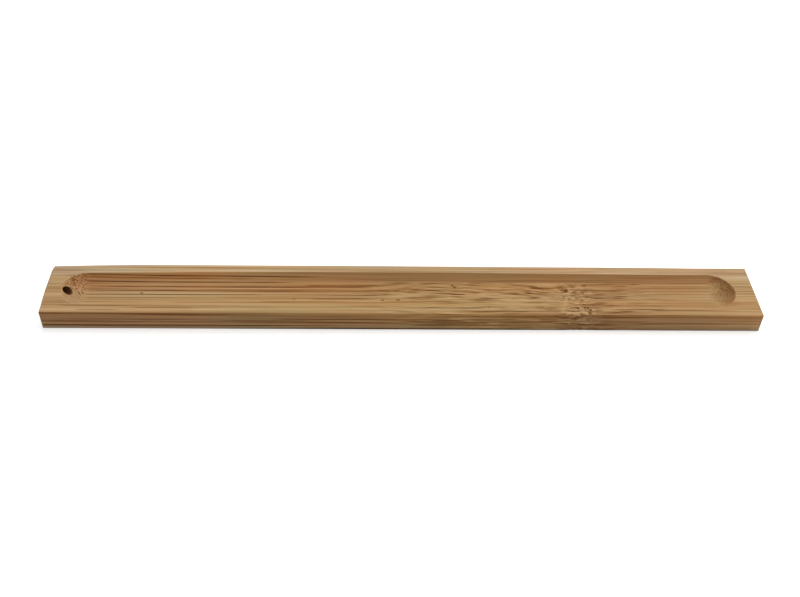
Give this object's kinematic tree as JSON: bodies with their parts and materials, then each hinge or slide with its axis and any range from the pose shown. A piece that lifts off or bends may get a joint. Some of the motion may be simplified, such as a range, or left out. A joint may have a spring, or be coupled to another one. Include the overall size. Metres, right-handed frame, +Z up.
{
  "type": "incense stick holder",
  "caption": "Flat bamboo bar with a long coved ash trough in its top and a slanting blind hole at one end that holds an incense stick over the trough.",
  "frame": {"origin": "on the underside, below the middle of the bar", "axes": "+X along the bar away from the stick hole, +Y toward the back edge, +Z up out of the trough"},
  "size_m": [0.232, 0.0234, 0.007],
  "materials": {
    "back_strip": "sanded bamboo, fine straight grain, unvarnished",
    "front_strip": "sanded bamboo, fine straight grain with one node, unvarnished"
  },
  "bodies": {
    "root": {"back_strip": "back_strip", "front_strip": "front_strip"}
  },
  "joints": []
}
